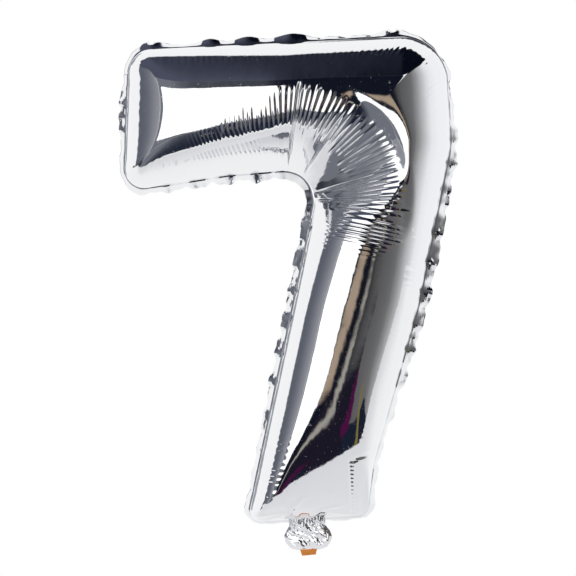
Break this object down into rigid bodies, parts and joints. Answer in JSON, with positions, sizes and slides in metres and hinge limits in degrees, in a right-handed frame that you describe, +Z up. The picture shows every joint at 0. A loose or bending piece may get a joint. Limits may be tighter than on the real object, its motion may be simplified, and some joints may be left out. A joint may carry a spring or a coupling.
{
  "type": "foil number balloon",
  "caption": "Inflated silver foil digit seven with a heat-sealed margin, hanging ears and a folding filling tail that holds a self-sealing film valve.",
  "frame": {"origin": "middle of the box round the whole inflated balloon, on the plane of the seam", "axes": "+Z up along the digit from its tail to its top edge, +X to the right as the digit is read, and the front faces -Y"},
  "size_m": [0.2506, 0.0946, 0.38],
  "materials": {
    "silver_foil": "polished",
    "valve_film": "gloss",
    "release_ink": "satin"
  },
  "bodies": {
    "balloon": {"front_panel": "silver_foil", "back_panel": "silver_foil", "perimeter_seam": "silver_foil", "valve_inner_front": "valve_film", "valve_inner_back": "valve_film"},
    "tail": {"tail_front_film": "silver_foil", "tail_back_film": "silver_foil", "tail_seal_left": "silver_foil", "tail_seal_right": "silver_foil", "valve_mouth_front": "valve_film", "valve_mouth_back": "valve_film", "release_print": "release_ink"}
  },
  "joints": [
    {"name": "tail_fold", "type": "hinge", "parent": "balloon", "child": "tail", "pos_m": [0.00026, 0, -0.16785], "axis": [1, 0, 0], "range_deg": [-90, 90], "stiffness_Nm_per_rad": 0.0002}
  ]
}
